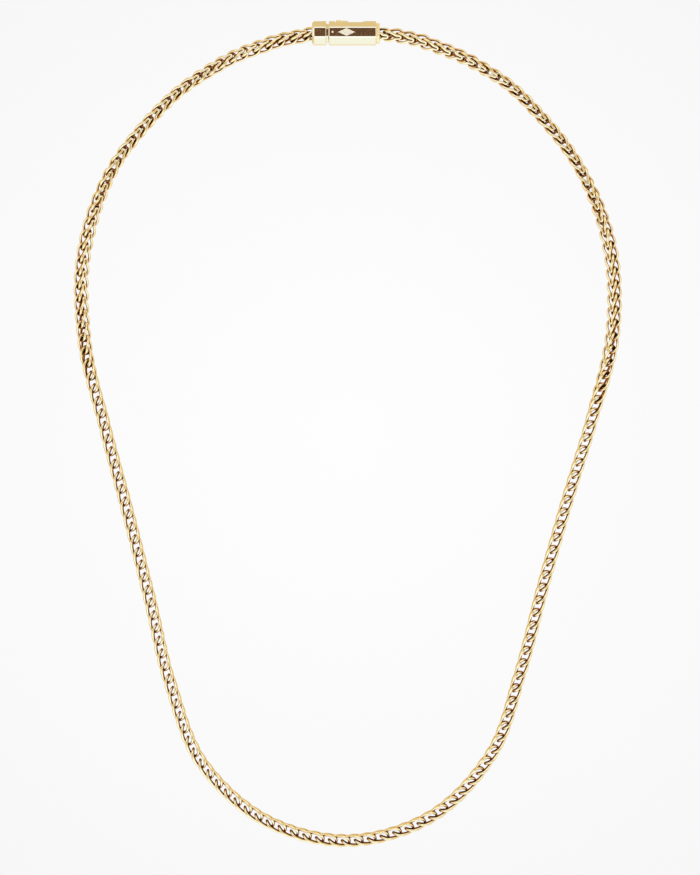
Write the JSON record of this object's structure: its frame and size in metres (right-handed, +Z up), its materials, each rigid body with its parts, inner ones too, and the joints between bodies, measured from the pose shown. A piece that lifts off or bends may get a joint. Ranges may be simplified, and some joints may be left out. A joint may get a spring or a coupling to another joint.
{
  "type": "fishbone chain necklace",
  "caption": "Closed necklace of folded V-shaped wire links that interlock in a square section, with an eight-sided barrel clasp opened by a push lever.",
  "frame": {"origin": "on the underside of the closed clasp, halfway along it, where the nape of the neck carries the hanging necklace", "axes": "+Z up, the loop hangs down along -Z in the XZ plane; +X to the right as seen from the front, along the clasp's barrel; the front with the raised lozenge faces -Y"},
  "size_m": [0.143, 0.0063, 0.2155],
  "materials": {
    "chain_gold": "polished yellow gold wire",
    "clasp_gold": "mirror-polished yellow gold",
    "lever_gold": "bright polished yellow gold"
  },
  "bodies": {
    "necklace": {"chain_right": "chain_gold", "chain_left": "chain_gold", "clasp_barrel": "clasp_gold", "clasp_tongue": "clasp_gold"},
    "lever": {"push_lever": "lever_gold"}
  },
  "joints": [
    {"name": "lever_press", "type": "hinge", "parent": "necklace", "child": "lever", "pos_m": [0.0033, 0, 0.00435], "axis": [0, -1, 0], "range_deg": [0, 8.5], "stiffness_Nm_per_rad": 0.01, "springref_deg": -2.86}
  ]
}
